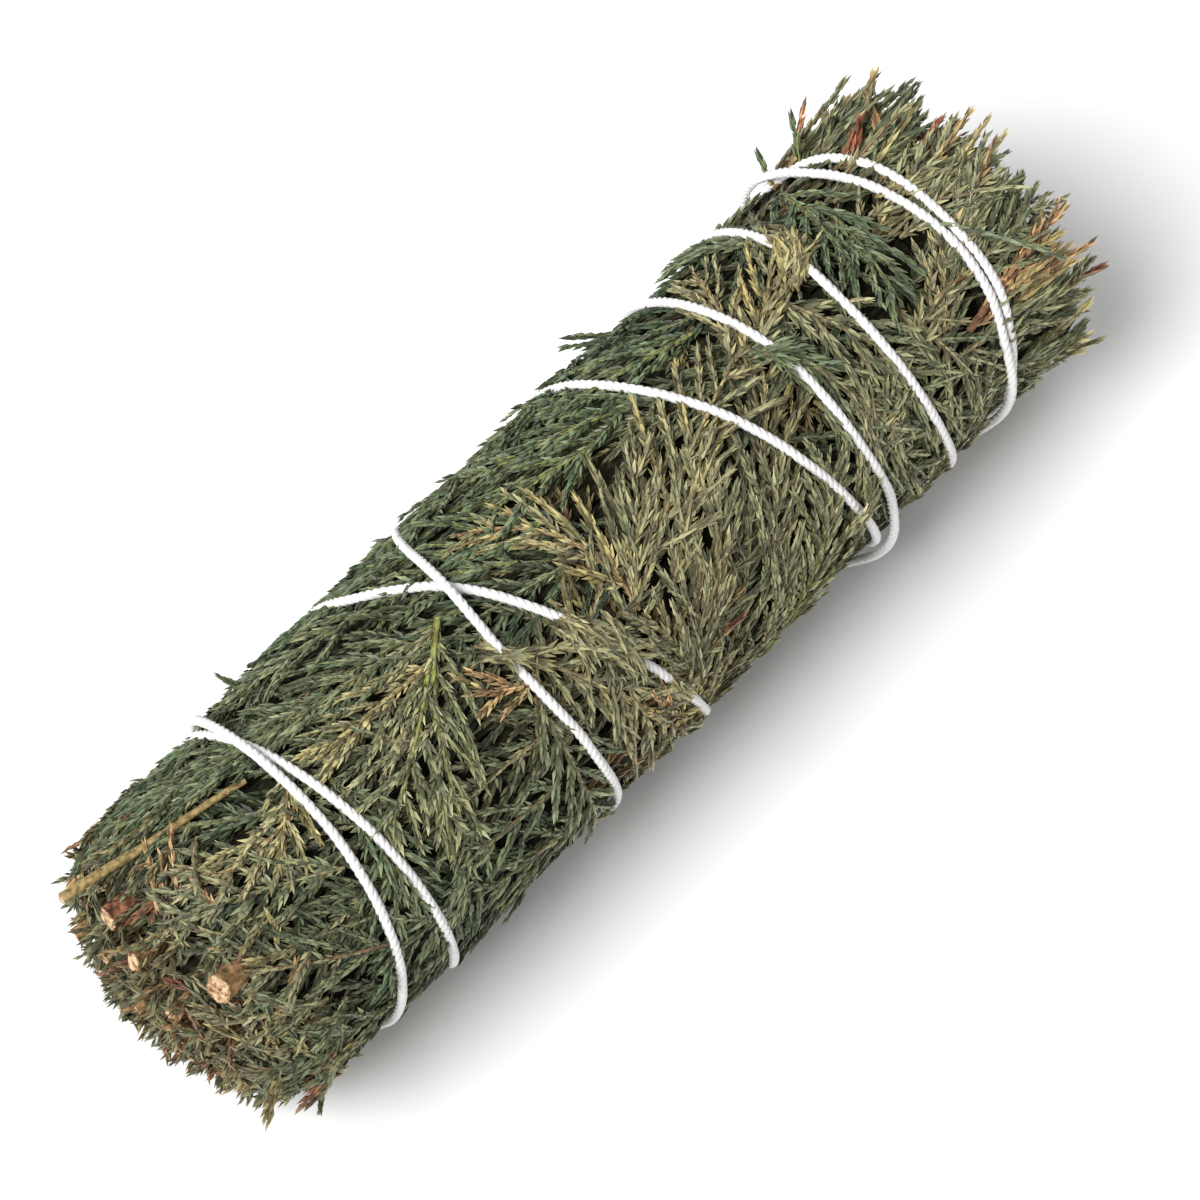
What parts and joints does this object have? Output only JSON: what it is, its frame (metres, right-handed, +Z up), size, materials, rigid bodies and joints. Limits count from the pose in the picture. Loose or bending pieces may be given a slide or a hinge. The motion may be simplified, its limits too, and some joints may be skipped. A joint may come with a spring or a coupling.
{
  "type": "smudge stick",
  "caption": "Round bundle of dried juniper sprigs laid side by side and bound end to end with crossed cotton twine, cut stems at one end and leafy tips at the other.",
  "frame": {"origin": "centre of the bundle's footprint, on the surface it lies on", "axes": "+X along the bundle from the cut stems to the leafy tips, +Z up, away from the flat it rests on"},
  "size_m": [0.1389, 0.0404, 0.0398],
  "materials": {
    "outer_foliage": "dried needles, matt",
    "inner_foliage": "dried needles and stems, matt",
    "twine": "plain twisted cotton"
  },
  "bodies": {
    "root": {"sprig_outer_01": "outer_foliage", "sprig_outer_02": "outer_foliage", "sprig_outer_03": "outer_foliage", "sprig_outer_04": "outer_foliage", "sprig_outer_05": "outer_foliage", "sprig_outer_06": "outer_foliage", "sprig_outer_07": "outer_foliage", "sprig_outer_08": "outer_foliage", "sprig_outer_09": "outer_foliage", "sprig_outer_10": "outer_foliage", "sprig_outer_11": "outer_foliage", "sprig_inner_01": "inner_foliage", "sprig_inner_02": "inner_foliage", "sprig_inner_03": "inner_foliage", "sprig_inner_04": "inner_foliage", "sprig_inner_05": "inner_foliage", "sprig_inner_06": "inner_foliage", "sprig_inner_07": "inner_foliage", "sprig_core_01": "inner_foliage", "sprig_core_02": "inner_foliage", "sprig_core_03": "inner_foliage", "twine": "twine"}
  },
  "joints": []
}
